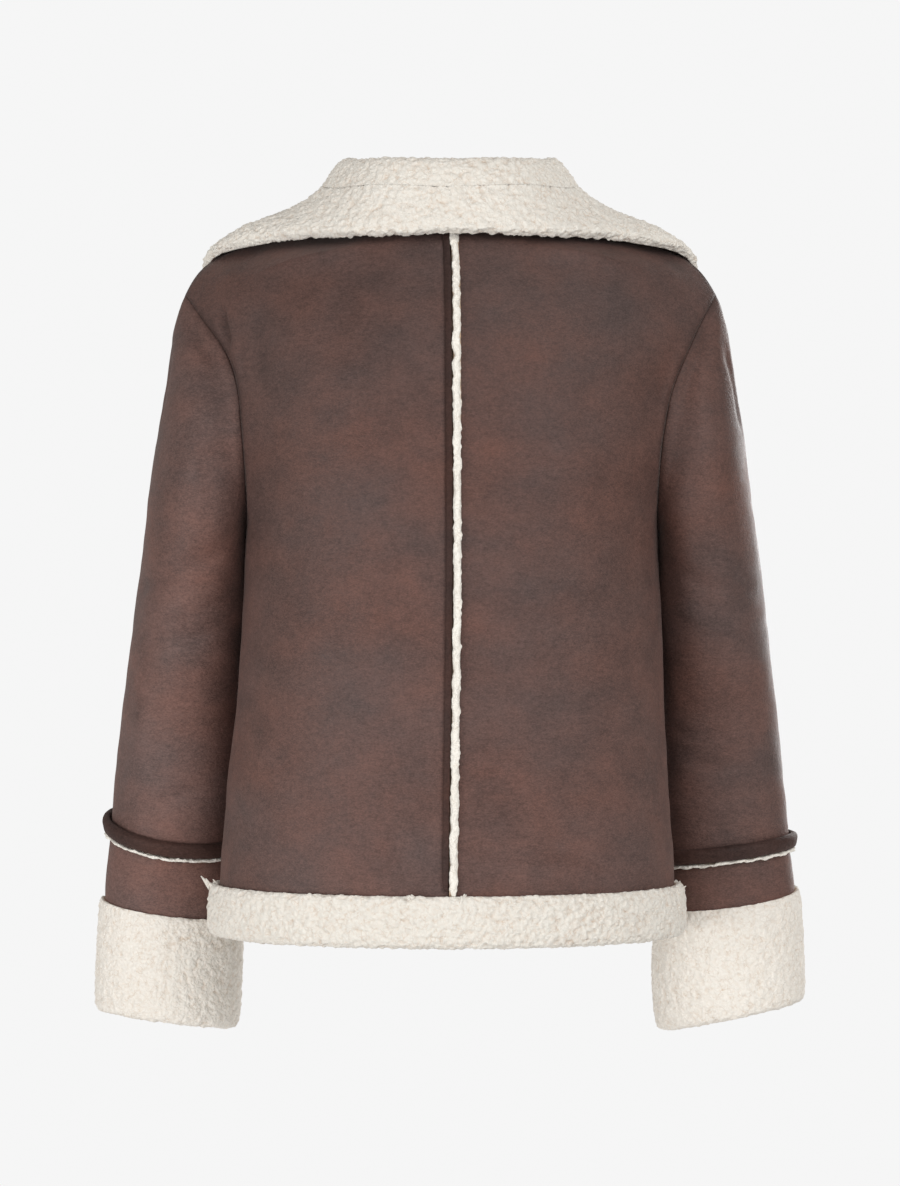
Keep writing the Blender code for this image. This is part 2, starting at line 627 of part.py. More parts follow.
def body_tree(surfaces):
    """Search tree over the outer faces of the four body panels."""
    points = []
    faces = []
    for grid, normals in surfaces.values():
        base = len(points)
        columns = len(grid[0])
        for row in grid:
            points += row
        for j in range(len(grid) - 1):
            for i in range(columns - 1):
                a = base + j * columns + i
                face = (a, a + 1, a + columns + 1, a + columns)
                turn = (points[face[1]] - points[a]).cross(points[face[3]] - points[a])
                faces.append(face if turn.dot(normals[j][i]) > 0.0 else face[::-1])
    return BVHTree.FromPolygons(points, faces)


def along_line(line, place):
    """Point at a fractional index of a broken line."""
    start = min(int(place), len(line) - 2)
    return line[start].lerp(line[start + 1], place - start)


def neck_point(surfaces, tag, place):
    """Point of the neckline: 0 centre back, 1 shoulder seam, 2 front break."""
    back_grid, back_normals = surfaces["back_" + tag]
    front_grid, front_normals = surfaces["front_" + tag]
    if place <= 1.0:
        line = [p.copy() for p in back_grid[0][:NECK_COLUMNS + 1]]
        line[0].x = 0.0
        return along_line(line, place * NECK_COLUMNS)
    break_row = ARMHOLE_STEPS * BREAK_ROW / ARMPIT
    line = [row[0] for row in front_grid]
    return along_line(line, (place - 1.0) * break_row)


STAND_POINTS = 2         # up the stand, before the roll
ROLL_POINTS = 5          # over the top of the collar, from its stand side to its fall side
FALL_SHARES = (0.0, 0.25, 0.5, 0.75, 0.93, 1.0)


def bezier(start, pull, end, t):
    return start * (1.0 - t) ** 2 + pull * (2.0 * t * (1.0 - t)) + end * t * t


def lifted(point, tree, lift):
    """The point, or where it lies nearer to the body than lift, its place lifted off the panel."""
    spot, facing, _, _ = tree.find_nearest(point)
    height = (point - spot).dot(facing)
    return point if height > lift else spot + facing * lift


def collar_lines(surfaces, tag, tree):
    """Leather side of the collar for one half: a row of points from neck to edge per station.

    Returns the rows of the stand, the rows of the fall, and for each station the directions that
    the pile of the stand and the roll faces, with the share of the full pile.
    """
    mirror = Vector((1.0 if tag == "left" else -1.0, 1.0, 1.0))
    rows = [spline(COLLAR, (len(COLLAR) - 1) * k / COLLAR_STATIONS) for k in range(COLLAR_STATIONS + 1)]
    rolls = [Vector((row.roll_x, row.roll_y, row.roll_z)) for row in rows]
    stand = []
    fall = []
    facings = []
    for k, row in enumerate(rows):
        neck = neck_point(surfaces, tag, row.neck) * mirror
        roll = rolls[k]
        middle = Vector((row.mid_x, row.mid_y, row.mid_z))
        edge = Vector((row.edge_x, row.edge_y, row.edge_z))
        spot, facing, _, _ = tree.find_nearest(edge * mirror)
        edge = (spot + facing * row.lift) * mirror
        up = (roll - neck).normalized()
        along = rolls[min(k + 1, COLLAR_STATIONS)] - rolls[max(k - 1, 0)]
        out = along.cross(up).normalized()
        if out.dot(edge - neck) < 0.0:
            out.negate()
        if k == 0:
            out = Vector((0.0, out.y, out.z)).normalized()
        radius = ROLL_RADIUS * row.pile
        base = neck + up * (2.0 * SEAM_GAP)
        shoulder_of_roll = roll - out * radius
        line = [base, base.lerp(shoulder_of_roll, 0.5)]
        directions = [-out] * STAND_POINTS
        toward_fall = middle - roll
        last_turn = math.atan2(-toward_fall.dot(up), toward_fall.dot(out))
        for place in range(ROLL_POINTS):
            turn = blend(-math.pi / 2.0, last_turn, place / (ROLL_POINTS - 1))
            ray = out * math.sin(turn) + up * math.cos(turn)
            line.append(roll + ray * radius)
            directions.append(ray)
        drop = []
        for share in FALL_SHARES:
            spot = bezier(line[-1], middle, edge, blend(row.seam, 1.0, share))
            arch = share ** 0.8 * (1.0 - share ** 6)
            drop.append(lifted(spot * mirror, tree, blend(row.lift, row.stand_off, arch)))
        stand.append([p * mirror for p in line] + [drop[0]])
        fall.append(drop)
        facings.append(([direction * mirror for direction in directions], row.pile))
    return stand, fall, facings


def collar(surfaces):
    """Collar stand with its roll, and collar fall, each one piece from front break to front break."""
    tree = body_tree(surfaces)
    left_stand, left_fall, left_facings = collar_lines(surfaces, "left", tree)
    right_stand, right_fall, right_facings = collar_lines(surfaces, "right", tree)
    stand = right_stand[:0:-1] + left_stand
    fall = right_fall[:0:-1] + left_fall
    facings = right_facings[:0:-1] + left_facings
    whole = [a + b[1:] for a, b in zip(stand, fall)]
    normals = grid_normals(whole)
    top_of_roll = STAND_POINTS + ROLL_POINTS // 2
    if normals[len(whole) // 2][top_of_roll].z < 0.0:
        normals = [[-n for n in row] for row in normals]
    thick = [STAND_PILE] * STAND_POINTS + [ROLL_PILE] * ROLL_POINTS
    thick += [FALL_PILE] * (len(FALL_SHARES) - 1) + [EDGE_PILE]
    split = len(stand[0]) - 1
    pile_side = []
    for row, line, (directions, share) in zip(whole, normals, facings):
        line[:len(directions)] = directions
        pile_side.append([p + n * (t * share) for p, n, t in zip(row, line, thick)])
    half_gap = SEAM_GAP / 2.0
    parts = (("collar_stand", 0, split), ("collar_fall", split, len(whole[0]) - 1))
    for name, first, last in parts:
        leather = [list(row[first:last + 1]) for row in whole]
        pile = [list(row[first:last + 1]) for row in pile_side]
        at = -1 if first == 0 else 0
        step = -1 if first == 0 else 1
        for k in range(len(whole)):
            toward = (whole[k][split + step] - whole[k][split]).normalized() * half_gap
            leather[k][at] = whole[k][split] + toward
            pile[k][at] = pile_side[k][split] + toward
        shell(name, pile, leather, PILE)


# ---------------------------------------------------------------- build

def clear_scene():
    for thing in list(bpy.data.objects):
        bpy.data.objects.remove(thing)


def main():
    clear_scene()
    surfaces = {}
    for tag, side in (("left", 1.0), ("right", -1.0)):
        surfaces["back_" + tag] = panel_surface(side, True)
        surfaces["front_" + tag] = panel_surface(side, False)
    for name, surface in surfaces.items():
        panel(name, surface)
    for tag, side in (("left", 1.0), ("right", -1.0)):
        sleeve = sleeve_surface(side)
        sleeve_pieces(sleeve, tag)
        sleeve_seam(sleeve, tag)
        cuff(sleeve, tag)
    hem_bands(surfaces)
    back_seam(surfaces)
    collar(surfaces)


main()
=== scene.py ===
"""Faux shearling jacket, dressed: brown suede outside, off-white pile inside and on its trims.

Metres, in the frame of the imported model. The wearer's front faces -Y, the wearer's left is +X,
and the photograph looks along -Y at the back. Each cloth piece starts from its own solid.
"""

import math
import random
from collections import namedtuple

import bmesh
import bpy
from mathutils import Matrix, Vector, kdtree, noise
from mathutils.bvhtree import BVHTree


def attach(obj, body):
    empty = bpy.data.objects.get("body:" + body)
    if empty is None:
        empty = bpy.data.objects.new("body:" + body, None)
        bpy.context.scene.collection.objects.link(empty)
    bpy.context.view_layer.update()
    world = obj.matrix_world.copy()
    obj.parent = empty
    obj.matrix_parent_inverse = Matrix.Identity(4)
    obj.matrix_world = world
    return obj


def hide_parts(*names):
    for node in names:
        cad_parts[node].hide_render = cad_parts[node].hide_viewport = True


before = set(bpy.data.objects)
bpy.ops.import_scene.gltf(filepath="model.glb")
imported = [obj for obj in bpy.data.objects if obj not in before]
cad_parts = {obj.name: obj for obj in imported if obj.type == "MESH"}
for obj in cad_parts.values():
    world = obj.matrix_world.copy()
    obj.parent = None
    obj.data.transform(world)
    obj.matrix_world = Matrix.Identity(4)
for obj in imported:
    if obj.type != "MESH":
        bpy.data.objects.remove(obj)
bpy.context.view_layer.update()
noise.seed_set(1)                # noise vectors are otherwise new at each run

# ---------------------------------------------------------------- camera, from the photograph

FRAME_HEIGHT = 1186              # pixels
FOCAL = 3571                     # pixels
CAMERA_PLACE = Vector((0.0, 3.0, -0.313))

# ---------------------------------------------------------------- cloth sizes

WELD = 0.00001                   # points closer than this are one
FAR = 1.0                        # stands for a distance that was not found
BODY_AXIS_Y = -0.005
BODY_HALF_WIDTH = 0.19
BODY_HALF_DEPTH = 0.14
CHEST_Z = -0.20                  # above this the body rounds over to the shoulders
SHOULDER_TILT = 0.6              # how much the rounded shoulders face upwards
ARMPIT_Z = -0.275                # lower end of the armholes
SLEEVE_RADIUS = 0.045
ROLL_Z = -0.02                   # above this the collar's stand rolls over
NAPE_Y = 0.03                    # from here backwards the collar's fall counts as behind the neck
NAPE_REACH = 0.05
NAPE_TILT = -0.35                # its outward direction there points a little downwards

SUEDE_CELL = 0.0040              # longest edge on the outside of a suede piece
SUEDE_ROUNDS = 2                 # levels of rounding
SUEDE_EDGE = math.radians(32.0)  # suede that turns by more than this has an edge
SUEDE_CREASE = 0.75              # how firmly such an edge is held
FACES_OUT = 0.25                 # a face counts as outside or inside beyond this cosine
SWELL_SIZE = 0.0625              # across the slow swells of cloth on the wearer
SWELL_HEIGHT = 0.0014
RIPPLES_ACROSS = 38.0            # small ripples in a metre
RIPPLES_UP = 62.0
RIPPLE_START = 7.0
RIPPLE_HEIGHT = 0.00045
FOLD_FADE = 5.0                  # a fold fades out over one part in five of its length
FOLD_END = 0.15                  # share of its height that is left at its ends
DEEP_FOLD = -0.0045              # a trough this deep gets as much painted shade as a seam

TOUCH = 0.0010                   # points of two solids nearer than this lie on a common seam
SEAM_SHARE = 0.7                 # share of the gap that each piece closes; they overlap a little
SEAM_STEP = 0.0025               # between the points that mark a seam
SEAM_WIDTH = 0.0016              # cloth nearer to a seam than this goes with the seam
SEAM_DIP = 0.0011                # how far cloth is drawn in by its seams
SEAM_REACH = 0.0060              # how far from a seam it is drawn in
SLACK_REACH = 0.0070             # how far from a seam the cloth hangs freely
RAW_EDGE = 0.0012                # width of the cut edge of a seam allowance
LIP_WAVES = 140.0                # waves in a metre of a seam allowance
LIP_UNEVEN = 0.0004

PILE_CELL = 0.0014               # longest edge where pile shows
COLLAR_CELL = 0.0018             # the same on the wide pieces of the collar
PILE_ROUNDS = 1
PILE_EDGE = math.radians(60.0)
PILE_CREASE = 0.35
PILE_SHOWS = -0.35               # pile faces that turn further in than this cosine are hidden
PILE_STARTS = -0.45              # from this cosine the pile begins to stand up
PILE_RISE = 0.35                 # and over this much more it reaches its full height
CURL_SIZE = 0.0044               # across one curl of the pile
CURL_SPREAD = 0.85               # how far a curl's dome fills its place
CURL_TURNS = 130.0               # turns in a metre of the way that the curls wander
CURL_WANDER = 0.0016
PUFF_SIZE = 0.0036               # between the fine partings within the curls
PUFF_SLOPE = 3.2
PUFF_POWER = 0.6
LUMP_SIZE = 0.0150               # across a clump of curls
LUMP_SWING = 0.9
DOME_SHARE = 0.56                # shares of curls, partings and clumps in the pile's height
PUFF_SHARE = 0.28
LUMP_SHARE = 0.16
TOP_OF_PILE = 0.72               # height of the pile that lies on the solid's own face
PRESSED_REACH = 0.0016           # pile nearer to its own seams than this is pressed
PRESSED_SHARE = 0.15             # share of its curls that pressed pile keeps
PIPING = 0.0034                  # pile nearer to the cloth than this is pressed to a smooth rim
PIPING_FLAT = 0.4                # share of the rim that is quite smooth
RIM_CUT = 0.0018                 # width of the cut leather that shows at the rim
EDGE_WAVE = 0.0060               # between the lobes of a pile edge
EDGE_UNEVEN = 0.0009             # how far the pile strays from an even surface
EDGE_REACH = 0.003               # it strays fully this far from a seam
FRAY_LONG = 0.0085               # between the long and the short waves of a frayed strip
FRAY_SHORT = 0.0031
FRAY_SHORT_SHARE = 0.6
STRIP_END = -0.5540              # below this the strip of the back seam runs into the hem
STRIP_TUCK = 0.0022

WISP_SIDES = 6
WISP_ROOT = 0.0019               # radius of a wisp of pile at its root and at its tip
WISP_TIP = 0.0005
WISP_SHORTEST = 0.6              # length of the shortest, as a share of the longest
WISP_SPREAD = 0.30               # how far wisps point apart
WISP_SCATTER = 0.0022            # how far their roots lie apart, each way
WISP_BEND = 0.5

Middle = namedtuple("Middle", "z x y")
SLEEVE_MIDDLE = (                # centre of the left sleeve at a height
    Middle(-0.120, 0.203, -0.008),
    Middle(-0.165, 0.209, -0.012),
    Middle(-0.258, 0.216, -0.028),
    Middle(-0.360, 0.224, -0.053),
    Middle(-0.465, 0.232, -0.0765),
    Middle(-0.577, 0.2416, -0.0915),
    Middle(-0.660, 0.2465, -0.0955),
)


# ---------------------------------------------------------------- directions on the wearer's form

def body_outward(place):
    """Direction that points out of the worn body at a place on or near it."""
    rise = max(0.0, place.z - CHEST_Z) / CHEST_Z ** 2
    return Vector((place.x / BODY_HALF_WIDTH ** 2,
                   (place.y - BODY_AXIS_Y) / BODY_HALF_DEPTH ** 2,
                   rise * SHOULDER_TILT)).normalized()


def sleeve_middle(z):
    """Centre of the left sleeve at a height."""
    if z >= SLEEVE_MIDDLE[0].z:
        return Vector((SLEEVE_MIDDLE[0].x, SLEEVE_MIDDLE[0].y, SLEEVE_MIDDLE[0].z))
    for upper, lower in zip(SLEEVE_MIDDLE, SLEEVE_MIDDLE[1:]):
        if z >= lower.z:
            t = (upper.z - z) / (upper.z - lower.z)
            return Vector((upper.x + (lower.x - upper.x) * t, upper.y + (lower.y - upper.y) * t, z))
    return Vector((SLEEVE_MIDDLE[-1].x, SLEEVE_MIDDLE[-1].y, z))


def sleeve_outward(place):
    """Direction that points out of the sleeve that a place is on or near."""
    middle = sleeve_middle(place.z)
    if place.x < 0.0:
        middle.x = -middle.x
    return (place - middle).normalized()


def sleeve_chart(place):
    """Flat coordinates on a sleeve: how far round from its outer side to the back, and height."""
    middle = sleeve_middle(place.z)
    turn = math.atan2(place.y - middle.y, abs(place.x) - middle.x)
    return turn * SLEEVE_RADIUS, place.z


def body_chart(place):
    """Flat coordinates on the body: across, and height."""
    return place.x, place.z


def stand_outward(place):
    """Up on the stand's roll, so that all of it counts as showing, and out of the body below."""
    return Vector((0.0, 0.0, 1.0)) if place.z > ROLL_Z else body_outward(place)


def fall_outward(place):
    """Out of the body, but downwards behind the neck, where the underside of the rim shows."""
    behind = min(1.0, max(0.0, (place.y - NAPE_Y) / NAPE_REACH))
    way = body_outward(place)
    way.z += (NAPE_TILT - way.z) * behind
    return way.normalized()


# ---------------------------------------------------------------- folds

Fold = namedtuple("Fold", "width depth path")
# A fold runs along its path in flat coordinates; a depth below zero is a trough, above it a ridge.
BACK_FOLDS = (
    Fold(0.0070, -0.0045, ((0.1925, -0.0720), (0.1880, -0.0860), (0.1845, -0.0980), (0.1820, -0.1090))),
    Fold(0.0065, 0.0026, ((0.1865, -0.0740), (0.1825, -0.0880), (0.1795, -0.1000), (0.1765, -0.1170),
                          (0.1755, -0.1350))),
    Fold(0.0150, -0.0020, ((0.1600, -0.0800), (0.1560, -0.1050), (0.1540, -0.1400))),
    Fold(0.010, -0.0016, ((-0.072, -0.535), (-0.086, -0.532), (-0.107, -0.536), (-0.121, -0.543),
                          (-0.137, -0.553))),
    Fold(0.011, 0.0014, ((-0.080, -0.523), (-0.100, -0.522), (-0.120, -0.528), (-0.140, -0.540))),
    Fold(0.009, -0.0012, ((-0.022, -0.530), (-0.046, -0.532), (-0.067, -0.533))),
    Fold(0.011, -0.0014, ((-0.121, -0.517), (-0.142, -0.525), (-0.158, -0.533))),
    Fold(0.010, -0.0012, ((-0.018, -0.441), (-0.038, -0.447), (-0.059, -0.447))),
    Fold(0.009, -0.0010, ((-0.014, -0.463), (-0.040, -0.461))),
    Fold(0.016, -0.0016, ((0.048, -0.500), (0.044, -0.520), (0.040, -0.540))),
    Fold(0.020, -0.0014, ((0.150, -0.440), (0.120, -0.470), (0.100, -0.505))),
    Fold(0.024, -0.0018, ((0.160, -0.300), (0.120, -0.322), (0.075, -0.335))),
    Fold(0.024, -0.0016, ((-0.165, -0.290), (-0.125, -0.318), (-0.080, -0.336))),
    Fold(0.022, 0.0014, ((0.165, -0.330), (0.120, -0.356), (0.070, -0.372))),
    Fold(0.014, -0.0020, ((-0.186, -0.102), (-0.178, -0.130), (-0.172, -0.160))),
    Fold(0.030, -0.0020, ((0.060, -0.040), (0.085, -0.085), (0.100, -0.140))),
)
FRONT_FOLDS = (
    Fold(0.020, -0.0022, ((0.168, -0.270), (0.130, -0.300), (0.090, -0.318))),
    Fold(0.020, -0.0022, ((-0.168, -0.270), (-0.128, -0.296), (-0.085, -0.310))),
    Fold(0.016, 0.0016, ((0.170, -0.296), (0.130, -0.328), (0.080, -0.345))),
    Fold(0.014, -0.0016, ((0.030, -0.520), (0.070, -0.528), (0.120, -0.515))),
    Fold(0.012, -0.0014, ((-0.025, -0.470), (-0.060, -0.484), (-0.105, -0.480))),
    Fold(0.016, -0.0016, ((-0.150, -0.420), (-0.110, -0.455), (-0.090, -0.500))),
    Fold(0.024, -0.0020, ((0.060, -0.350), (0.056, -0.420), (0.064, -0.490))),
)
LEFT_SLEEVE_FOLDS = (
    Fold(0.034, 0.0030, ((0.122, -0.240), (0.128, -0.285), (0.130, -0.345))),
    Fold(0.014, -0.0032, ((0.030, -0.078), (0.055, -0.096), (0.073, -0.118), (0.080, -0.145),
                          (0.083, -0.175), (0.085, -0.206), (0.091, -0.240))),
    Fold(0.016, -0.0030, ((0.010, -0.110), (0.014, -0.150), (0.010, -0.190))),
    Fold(0.012, -0.0024, ((0.100, -0.268), (0.060, -0.300), (0.020, -0.312))),
    Fold(0.012, -0.0020, ((0.110, -0.330), (0.070, -0.352), (0.040, -0.352))),
    Fold(0.014, 0.0018, ((0.105, -0.300), (0.065, -0.327), (0.030, -0.333))),
    Fold(0.012, -0.0022, ((-0.090, -0.300), (-0.050, -0.330), (-0.010, -0.345))),
    Fold(0.012, -0.0022, ((-0.100, -0.345), (-0.060, -0.368), (-0.020, -0.372))),
    Fold(0.011, -0.0016, ((0.090, -0.475), (0.060, -0.492), (0.020, -0.488))),
    Fold(0.018, 0.0020, ((0.040, -0.380), (0.045, -0.430), (0.040, -0.480))),
)
RIGHT_SLEEVE_FOLDS = (
    Fold(0.034, 0.0030, ((0.122, -0.240), (0.128, -0.285), (0.130, -0.345))),
    Fold(0.013, -0.0028, ((0.030, -0.078), (0.055, -0.096), (0.073, -0.118), (0.080, -0.145),
                          (0.083, -0.175), (0.085, -0.206), (0.091, -0.240))),
    Fold(0.014, -0.0024, ((0.030, -0.105), (0.022, -0.140), (0.026, -0.180))),
    Fold(0.011, -0.0018, ((0.105, -0.282), (0.075, -0.306), (0.030, -0.310))),
    Fold(0.010, -0.0016, ((0.112, -0.424), (0.090, -0.434), (0.066, -0.432))),
    Fold(0.010, -0.0014, ((0.100, -0.452), (0.074, -0.460), (0.050, -0.456))),
    Fold(0.014, 0.0016, ((0.108, -0.318), (0.070, -0.342), (0.040, -0.344))),
    Fold(0.012, -0.0022, ((-0.090, -0.310), (-0.050, -0.336), (-0.015, -0.340))),
    Fold(0.012, -0.0020, ((-0.095, -0.366), (-0.055, -0.384), (-0.020, -0.380))),
)
NO_FOLDS = ()


def near_path(u, v, path):
    """Distance from a path in flat coordinates, and how far along the path, from 0 to 1."""
    nearest = FAR
    along = 0.0
    for k, ((ax, ay), (bx, by)) in enumerate(zip(path, path[1:])):
        dx = bx - ax
        dy = by - ay
        t = ((u - ax) * dx + (v - ay) * dy) / (dx * dx + dy * dy)
        t = min(1.0, max(0.0, t))
        away = math.hypot(u - ax - dx * t, v - ay - dy * t)
        if away < nearest:
            nearest = away
            along = (k + t) / (len(path) - 1)
    return nearest, along


def fold_height(u, v, folds):
    """Height of all folds at a flat place: rounded across, and fading to nothing at both ends."""
    height = 0.0
    for fold in folds:
        away, along = near_path(u, v, fold.path)
        if away < fold.width:
            across = (1.0 + math.cos(math.pi * away / fold.width)) / 2.0
            fade = min(1.0, FOLD_FADE * along, FOLD_FADE * (1.0 - along))
            height += fold.depth * across * (FOLD_END + (1.0 - FOLD_END) * fade)
    return height


def drape(place):
    """Slow swells and small ripples of cloth on the wearer, in metres."""
    swell = noise.noise(place / SWELL_SIZE) * SWELL_HEIGHT
    spot = Vector((place.x * RIPPLES_ACROSS, place.y * RIPPLES_ACROSS,
                   place.z * RIPPLES_UP + RIPPLE_START))
    return swell + noise.noise(spot) * RIPPLE_HEIGHT


# ---------------------------------------------------------------- cloth pieces

def copy_of(node):
    """A copy of a solid's mesh with its points welded and its triangles paired to quads."""
    bm = bmesh.new()
    bm.from_mesh(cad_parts[node].data)
    bmesh.ops.remove_doubles(bm, verts=bm.verts, dist=WELD)
    bmesh.ops.join_triangles(bm, faces=bm.faces, angle_face_threshold=math.pi,
                             angle_shape_threshold=math.pi)
    return bm


def tree_of(places):
    """Search tree over places."""
    tree = kdtree.KDTree(len(places))
    for k, place in enumerate(places):
        tree.insert(place, k)
    tree.balance()
    return tree


def faces_of_others(node, wanted=""):
    """Search trees over the faces of the other solids whose names hold that word."""
    return [BVHTree.FromPolygons([v.co for v in thing.data.vertices],
                                 [face.vertices for face in thing.data.polygons])
            for name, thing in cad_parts.items()
            if name != node and wanted in name and "_seam_" not in name]


def met(place, others):
    """The place drawn towards the nearest face of another piece, where one touches it."""
    nearest = place
    gap = TOUCH
    for tree in others:
        spot, _, _, away = tree.find_nearest(place, gap)
        if spot is not None:
            nearest = spot
            gap = away
    return place.lerp(nearest, SEAM_SHARE)


def crease_rims(bm, others, angle, strength):
    """Draw the seams shut, and hold sharp edges against the rounding of the subdivision.

    Seams are held wholly, and so are the corners where three pieces meet. Returns a search tree
    over points along the seams, or None where the piece has none.
    """
    layer = bm.edges.layers.float.new("crease_edge")
    corner = bm.verts.layers.float.new("crease_vert")
    touched = {}
    for vert in bm.verts:
        touched[vert] = sum(tree.find_nearest(vert.co, TOUCH)[0] is not None for tree in others)
        vert.co = met(vert.co, others)
        if touched[vert] > 1:
            vert[corner] = 1.0
    marks = []
    for edge in bm.edges:
        if edge.calc_face_angle() < angle:
            continue
        start, end = [v.co for v in edge.verts]
        if touched[edge.verts[0]] and touched[edge.verts[1]]:
            edge[layer] = 1.0
            count = 1 + int((end - start).length / SEAM_STEP)
            marks += [start.lerp(end, k / count) for k in range(count + 1)]
        else:
            edge[layer] = strength
    return tree_of(marks) if marks else None


def from_seam(seams, place):
    """Distance to the nearest seam of the piece."""
    return seams.find(place)[2] if seams else FAR


def seam_pull(place, outward):
    """Outward direction at a seam, the same for the pieces on both its sides."""
    return body_outward(place) if place.z > ARMPIT_Z else outward(place)


def rounded(bm, levels):
    """The bmesh after a Subdivision Surface."""
    mesh = bpy.data.meshes.new("pattern")
    bm.to_mesh(mesh)
    bm.free()
    holder = bpy.data.objects.new("pattern", mesh)
    bpy.context.scene.collection.objects.link(holder)
    step = holder.modifiers.new("round", "SUBSURF")
    step.levels = levels
    step.render_levels = levels
    graph = bpy.context.evaluated_depsgraph_get()
    result = bmesh.new()
    result.from_mesh(holder.evaluated_get(graph).to_mesh())
    bpy.data.objects.remove(holder)
    return result


def refine(bm, wanted, longest):
    """Split the long edges of the wanted faces until they are short."""
    for _ in range(5):
        long_edges = set()
        for face in bm.faces:
            if wanted(face):
                long_edges.update(e for e in face.edges if e.calc_length() > longest)
        if not long_edges:
            return
        bmesh.ops.subdivide_edges(bm, edges=list(long_edges), cuts=1, use_grid_fill=True)
        bm.normal_update()


def make_piece(name, bm, materials):
    """Turn a bmesh into a smooth object that rides on the jacket."""
    mesh = bpy.data.meshes.new(name)
    bm.normal_update()
    bm.to_mesh(mesh)
    bm.free()
    mesh.shade_smooth()
    for material in materials:
        mesh.materials.append(material)
    thing = bpy.data.objects.new(name, mesh)
    bpy.context.scene.collection.objects.link(thing)
    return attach(thing, "root")


def suede_piece(node, outward, chart, folds, materials):
    """A panel or sleeve piece: suede outside with its folds, short pile inside."""
    bm = copy_of(node)
    seams = crease_rims(bm, faces_of_others(node), SUEDE_EDGE, SUEDE_CREASE)
    bm = rounded(bm, SUEDE_ROUNDS)

    def facing(face):
        return face.normal.dot(outward(face.calc_center_median()))

    refine(bm, lambda face: facing(face) > FACES_OUT, SUEDE_CELL)
    painted_shade = bm.verts.layers.float.new("painted_crease_shade")
    for vert in bm.verts:
        u, v = chart(vert.co)
        away = max(0.0, from_seam(seams, vert.co) - SEAM_WIDTH)
        free = min(1.0, away / SLACK_REACH)
        pull = max(0.0, 1.0 - away / SEAM_REACH)
        fold = fold_height(u, v, folds)
        # painted shade: how far the suede is darkened beside its seams and in the troughs of its folds
        vert[painted_shade] = max(pull, min(1.0, fold / DEEP_FOLD))
        slack = outward(vert.co) * ((fold + drape(vert.co)) * free)
        dip = seam_pull(vert.co, outward) * (SEAM_DIP * pull ** 2)
        vert.co += slack - dip
    for face in bm.faces:
        face.material_index = 1 if facing(face) < -FACES_OUT else 0
    thing = make_piece(node + "_cloth", bm, materials)
    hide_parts(node)
    return thing


# ---------------------------------------------------------------- pile

def curl_height(place):
    """Height of the curly pile at a place, from 0 in a parting to 1 on top of a curl."""
    spot = place + noise.noise_vector(place * CURL_TURNS) * CURL_WANDER
    distances, _ = noise.voronoi(spot / CURL_SIZE)
    dome = 1.0 - min(1.0, distances[0] / CURL_SPREAD) ** 2
    puff = min(1.0, abs(noise.noise(spot / PUFF_SIZE)) * PUFF_SLOPE) ** PUFF_POWER
    lump = 0.5 + LUMP_SWING * noise.noise(place / LUMP_SIZE)
    return DOME_SHARE * dome + PUFF_SHARE * puff + LUMP_SHARE * lump


def fray(place):
    """The way that a frayed strip strays at a place."""
    short = noise.noise_vector(place / FRAY_SHORT) * FRAY_SHORT_SHARE
    return noise.noise_vector(place / FRAY_LONG) + short


def pile_piece(node, outward, depth, materials, ragged=0.0, sewn_to="", cell=PILE_CELL):
    """A pile piece: the solid carved into curls, and the height of the pile kept for its colour.

    It is pressed to a smooth rim along the cloth that it borders, but one that is sewn only to
    the pieces named lies loose on the others. A ragged one is a narrow strip, frayed all along.
    """
    bm = copy_of(node)
    seams = crease_rims(bm, faces_of_others(node, sewn_to), PILE_EDGE, PILE_CREASE)
    bm = rounded(bm, PILE_ROUNDS)

    def shows(face):
        return face.normal.dot(outward(face.calc_center_median())) > PILE_SHOWS

    refine(bm, shows, cell)
    bm.normal_update()
    cloth = [tree for word in ("sleeve", "back", "front") for tree in faces_of_others(node, word)]
    pile_layer = bm.verts.layers.float.new("pile_height")
    edge_layer = bm.verts.layers.float.new("raw_edge")
    moves = []
    for vert in bm.verts:
        facing = vert.normal.dot(outward(vert.co))
        share = min(1.0, max(0.0, (facing - PILE_STARTS) / PILE_RISE))
        away = from_seam(seams, vert.co)
        loose = min(1.0, away / PRESSED_REACH)
        if not sewn_to:
            beside = min(tree.find_nearest(vert.co)[3] for tree in cloth)
            loose *= min(1.0, max(0.0, beside / PIPING - PIPING_FLAT))
            vert[edge_layer] = max(0.0, 1.0 - beside / RIM_CUT)
        curls = PRESSED_SHARE + (1.0 - PRESSED_SHARE) * loose
        height = TOP_OF_PILE + (curl_height(vert.co) - TOP_OF_PILE) * curls
        vert[pile_layer] = height
        move = vert.normal * (share * depth * (height - TOP_OF_PILE))
        if ragged:
            move += fray(vert.co) * (ragged * share)
            if node == "back_seam_pile" and vert.co.z < STRIP_END:
                move.z -= STRIP_TUCK
        else:
            uneven = EDGE_UNEVEN * share * min(1.0, away / EDGE_REACH)
            move += noise.noise_vector(vert.co / EDGE_WAVE) * uneven
        moves.append(move)
    for vert, move in zip(bm.verts, moves):
        vert.co += move
    if len(materials) > 1:
        for face in bm.faces:
            face.material_index = 0 if shows(face) else 1
    thing = make_piece(node + "_fur", bm, materials)
    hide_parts(node)
    return thing


def scatter(dice, spread):
    """A random step of up to the spread each way."""
    return Vector([dice.uniform(-spread, spread) for _ in range(3)])


